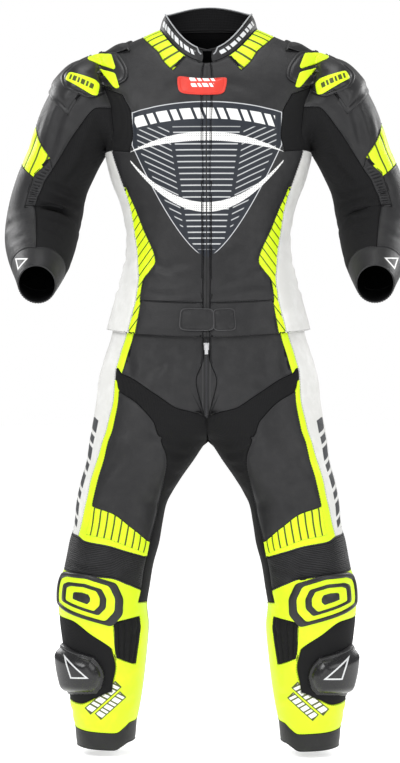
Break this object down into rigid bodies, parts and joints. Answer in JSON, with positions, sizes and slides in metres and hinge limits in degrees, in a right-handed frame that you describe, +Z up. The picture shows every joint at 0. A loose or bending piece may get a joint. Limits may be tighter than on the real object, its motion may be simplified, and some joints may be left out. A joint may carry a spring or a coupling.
{
  "type": "motorcycle race suit",
  "caption": "Two-piece leather race suit, jacket and trousers joined, filled out as worn: stand collar, hard shoulder cups, pre-bent sleeves, knee pucks and a fly zip pull that swings.",
  "frame": {"origin": "On the shoulder line between the two sides of the neck, midway across and halfway through the chest: the place the wearer's shoulders carry.", "axes": "+Z up, the suit faces -Y, and the suit's own left is at +X."},
  "size_m": [0.752, 0.3185, 1.3698],
  "materials": {
    "black_leather": "smooth cowhide with a soft sheen",
    "black_stretch": "matte knitted stretch cloth",
    "black_tape": "woven tape and hook-and-loop field",
    "neon_leather": "smooth fluorescent yellow leather",
    "white_leather": "smooth white leather",
    "red_label": "moulded soft patch",
    "hard_plastic": "hard black moulding",
    "zip_metal": "bright nickel"
  },
  "bodies": {
    "suit": {"ankle_cuff_left": "black_leather", "ankle_cuff_right": "black_leather", "armpit_gusset_left": "black_stretch", "armpit_gusset_right": "black_stretch", "belt_tab": "black_leather", "chest_patch": "red_label", "collar": "black_leather", "cuff_left": "black_leather", "cuff_right": "black_leather", "elbow_rib_left": "black_stretch", "elbow_rib_right": "black_stretch", "flank_stripe_left": "neon_leather", "flank_stripe_right": "neon_leather", "fly_slider": "zip_metal", "fly_zip": "black_tape", "front_zip": "black_tape", "hip_strip_left": "neon_leather", "hip_strip_right": "neon_leather", "jacket_back": "black_leather", "jacket_front_left": "black_leather", "jacket_front_right": "black_leather", "jacket_side_left": "white_leather", "jacket_side_right": "white_leather", "knee_band_left": "black_leather", "knee_band_right": "black_leather", "knee_rib_left": "black_stretch", "knee_rib_right": "black_stretch", "knee_shield_left": "black_leather", "knee_shield_right": "black_leather", "knee_slider_left": "hard_plastic", "knee_slider_right": "hard_plastic", "neck_stripe_left": "neon_leather", "neck_stripe_right": "neon_leather", "shin_panel_left": "neon_leather", "shin_panel_right": "neon_leather", "shoulder_cup_left": "hard_plastic", "shoulder_cup_right": "hard_plastic", "sleeve_inner_left": "black_stretch", "sleeve_inner_right": "black_stretch", "sleeve_outer_left": "black_leather", "sleeve_outer_right": "black_leather", "sleeve_stripe_left": "neon_leather", "sleeve_stripe_right": "neon_leather", "slider_field_left": "black_tape", "slider_field_right": "black_tape", "thigh_front_left": "black_leather", "thigh_front_right": "black_leather", "thigh_stripes_left": "neon_leather", "thigh_stripes_right": "neon_leather", "trouser_back_left": "black_leather", "trouser_back_right": "black_leather", "trouser_front_left": "black_leather", "trouser_front_right": "black_leather", "trouser_side_left": "white_leather", "trouser_side_right": "white_leather", "trouser_stretch_left": "black_stretch", "trouser_stretch_right": "black_stretch", "waistband_front_left": "black_leather", "waistband_front_right": "black_leather"},
    "pull": {"fly_pull": "zip_metal"}
  },
  "joints": [
    {"name": "fly_pull_swing", "type": "hinge", "parent": "suit", "child": "pull", "pos_m": [0, -0.12264, -0.5672], "axis": [-1, 0, 0], "range_deg": [0, 100]}
  ]
}
